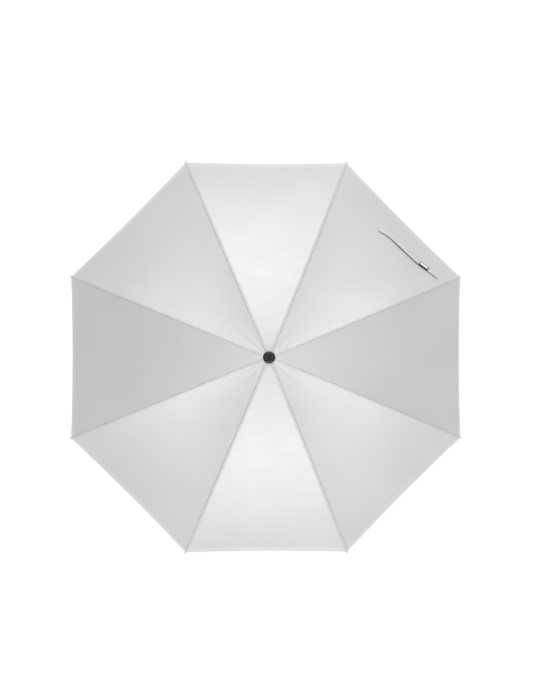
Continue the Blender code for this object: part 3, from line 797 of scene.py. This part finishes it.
def ring_mesh(name, radius, wire, height, sides=72, around=12):
    """A ring of round wire about the shaft."""
    rings = []
    for i in range(sides):
        a = 2 * math.pi * i / sides
        spoke = Vector((math.cos(a), math.sin(a), 0))
        rings.append([spoke * (radius + wire * math.cos(t)) + Vector((0, 0, height + wire * math.sin(t)))
                      for t in [2 * math.pi * j / around for j in range(around)]])
    bm = bmesh.new()
    verts = [[bm.verts.new(p) for p in ring] for ring in rings]
    for i in range(sides):
        near, far = verts[i], verts[(i + 1) % sides]
        for j in range(around):
            k = (j + 1) % around
            bm.faces.new((near[j], near[k], far[k], far[j]))
    bmesh.ops.recalc_face_normals(bm, faces=bm.faces)
    mesh = bpy.data.meshes.new(name)
    bm.to_mesh(mesh)
    bm.free()
    mesh.shade_smooth()
    return mesh


runner_wire = add_piece("runner_wire", ring_mesh("runner_wire", PIVOT_R, WIRE_R, runner_z), spring)
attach(runner_wire, "runner")


# ---------------------------------------------------------------- ribs and stretchers
# Inner ribs and stretchers are folded from plated strip and riveted. Outer ribs are drawn rods of
# glass fibre and resin, with the fibres running lengthwise.

strip, add, join = finish_of("plated_strip", (0.58, 0.59, 0.61), 0.26, 1.0)
objects = add("ShaderNodeTexCoord").outputs["Object"]
join(spread(add, noise(add, objects, 260, 2), 0.24, 0.34), "Roughness")
join(mixed(add, noise(add, objects, 35), (0.53, 0.54, 0.56), (0.64, 0.65, 0.66)), "Base Color")
rib_numbers = range(1, RIB_COUNT + 1)
paint(strip, *[f"rib_inner_{k}" for k in rib_numbers], *[f"stretcher_{k}" for k in rib_numbers])

rod, add, join = finish_of("drawn_rod", (0.5, 0.51, 0.51), 0.4)
objects = add("ShaderNodeTexCoord").outputs["Object"]
join(mixed(add, noise(add, objects, 700, 4), (0.44, 0.45, 0.45), (0.56, 0.57, 0.57)), "Base Color")
join(spread(add, noise(add, objects, 300, 3), 0.32, 0.5), "Roughness")
paint(rod, *[f"rib_outer_{k}" for k in rib_numbers])


# ---------------------------------------------------------------- rib tips
# Small moulded cups of pale grey plastic, pushed over the rods' ends and sewn to the hem's corners.
# Each has a short wider rim, a straight body and a round end.

TIP_R = 2.1 * MM
TIP_BELOW = 8 * MM
TIP_BEYOND = 2.5 * MM
TIP_BORE = 1.55 * MM
TIP_SOCKET = 0.6 * MM
TIP_RIM = 1.2 * MM
TIP_NECK = 0.3 * MM  # how far the body stands in from the rim
tip_grey, add, join = finish_of("moulded_grey", (0.6, 0.61, 0.61), 0.35)
objects = add("ShaderNodeTexCoord").outputs["Object"]
join(spread(add, noise(add, objects, 400, 4), 0.28, 0.42), "Roughness")
join(mixed(add, noise(add, objects, 90), (0.57, 0.58, 0.58), (0.64, 0.65, 0.65)), "Base Color")
long = TIP_BELOW + TIP_BEYOND
profile = [(0, TIP_SOCKET), (TIP_BORE, TIP_SOCKET), (TIP_BORE, 0)]
profile += [(TIP_R - 0.2 * MM, 0), (TIP_R, 0.2 * MM), (TIP_R, TIP_RIM)]
profile += [(TIP_R - TIP_NECK, TIP_RIM + 0.6 * MM), (TIP_R - TIP_NECK, long - TIP_R - 0.6 * MM)]
for i in range(9):
    a = math.pi / 2 * i / 8
    profile.append((TIP_R * math.cos(a), long - TIP_R + TIP_R * math.sin(a)))
profile[-1] = (0, long)
start, end = rib_point(RIB_LENGTH - TIP_BELOW), rib_point(RIB_LENGTH - TIP_BELOW / 2)
for k in rib_numbers:
    mesh = turned_mesh(f"tip_{k}", profile, 32)
    lean = Matrix.Rotation(math.pi / 2 + end[2], 4, "Y")
    place = Matrix.Translation((start[0], 0, start[1]))
    mesh.transform(Matrix.Rotation(HALF + (k - 1) * SECTOR, 4, "Z") @ place @ lean)
    tip = add_piece(f"tip_{k}", mesh, tip_grey)
    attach(tip, f"rib_outer_{k}")
    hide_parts(f"rib_tip_{k}")


# ---------------------------------------------------------------- rib ties
# Loops of thread that tie each seam down to its rib, at two places on the inner rib and two on the
# outer one.

TIE_WIRE = 0.28 * MM
TIE_POINTS = 28
TIE_UP = 0.75 * MM  # from the rib's centre line to the loop's middle
TIE_HALF_TALL = 2.7 * MM
TIE_HALF_WIDE = 2.15 * MM
TIES = {"inner": (70 * MM, 150 * MM), "outer": (290 * MM, 380 * MM)}


def tie_points(s):
    """A closed loop round the rib, up to the cloth, in the plane across the rib."""
    out, z, b = rib_point(s)
    for i in range(TIE_POINTS):
        a = 2 * math.pi * i / TIE_POINTS
        up = TIE_UP + TIE_HALF_TALL * math.sin(a)
        yield Vector((out + up * math.sin(b), TIE_HALF_WIDE * math.cos(a), z + up * math.cos(b)))


def loop_mesh(name, loops, wire):
    """Closed loops of round thread."""
    bm = bmesh.new()
    for points in loops:
        middle = sum(points, Vector()) / len(points)
        rings = []
        for i, p in enumerate(points):
            ahead = (points[(i + 1) % len(points)] - points[i - 1]).normalized()
            outward = (p - middle).normalized()
            beside = ahead.cross(outward).normalized()
            rings.append([bm.verts.new(p + (outward * math.cos(t) + beside * math.sin(t)) * wire)
                          for t in [2 * math.pi * j / 8 for j in range(8)]])
        for i in range(len(rings)):
            near, far = rings[i], rings[(i + 1) % len(rings)]
            for j in range(8):
                bm.faces.new((near[j], near[(j + 1) % 8], far[(j + 1) % 8], far[j]))
    bmesh.ops.recalc_face_normals(bm, faces=bm.faces)
    mesh = bpy.data.meshes.new(name)
    bm.to_mesh(mesh)
    bm.free()
    mesh.shade_smooth()
    return mesh


for k in rib_numbers:
    angle = HALF + (k - 1) * SECTOR
    for part, places in TIES.items():
        loops = []
        for s in places:
            for offset in (-0.5 * MM, 0.5 * MM):
                loops.append([turned(p, angle) for p in tie_points(s + offset)])
        tie = add_piece(f"tie_{part}_{k}", loop_mesh(f"tie_{part}_{k}", loops, TIE_WIRE), thread)
        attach(tie, f"rib_{part}_{k}")


# ---------------------------------------------------------------- floor and light
# A pale floor, a pale room and four soft boxes: one beyond the umbrella, one before it, and two
# above. The floor shows from above only, so that the umbrella can be looked at from below.

FLOOR_HALF = 30
white, add, join = finish_of("pale_floor", (0.9, 0.9, 0.9), 0.8)
set_finish(white, Emission_Color=(1, 1, 1, 1), Emission_Strength=0.25)
nodes, links = white.node_tree.nodes, white.node_tree.links
one_way = add("ShaderNodeMixShader")
links.new(add("ShaderNodeNewGeometry").outputs["Backfacing"], one_way.inputs[0])
links.new(nodes["Principled BSDF"].outputs["BSDF"], one_way.inputs[1])
links.new(add("ShaderNodeBsdfTransparent").outputs["BSDF"], one_way.inputs[2])
links.new(one_way.outputs["Shader"], nodes["Material Output"].inputs["Surface"])
corners = [(x * FLOOR_HALF, y * FLOOR_HALF, 0) for x, y in ((-1, -1), (1, -1), (1, 1), (-1, 1))]
floor_mesh = bpy.data.meshes.new("floor")
floor_mesh.from_pydata(corners, [], [(0, 1, 2, 3)])
add_piece("floor", floor_mesh, white)

world = bpy.data.worlds.new("studio")
world.use_nodes = True
world.node_tree.nodes["Background"].inputs["Color"].default_value = (1, 1, 1, 1)
world.node_tree.nodes["Background"].inputs["Strength"].default_value = 0.5
bpy.context.scene.world = world
bpy.context.scene.view_settings.view_transform = "Standard"

LIT_HEIGHT = 0.4  # where over the floor the far and near boxes point
SOFT_BOXES = (
    ("soft_box_far", (0.25, 3.0, 3.0), (5.4, 1.8), 70),
    ("soft_box_near", (0.25, -3.0, 3.0), (5.4, 1.8), 70),
    ("soft_box_left", (-1.75, 0.0, 4.2), (2.4, 2.2), 12),
    ("soft_box_right", (2.05, 0.0, 4.2), (2.4, 2.2), 13),
)
for name, place, (wide, tall), power in SOFT_BOXES:
    light = bpy.data.lights.new(name, "AREA")
    light.shape = "RECTANGLE"
    light.size, light.size_y = wide, tall
    light.energy = power
    lamp = bpy.data.objects.new(name, light)
    lamp.location = place
    lamp.rotation_euler = (-math.atan2(place[1], place[2] - LIT_HEIGHT), 0, 0)
    bpy.context.scene.collection.objects.link(lamp)
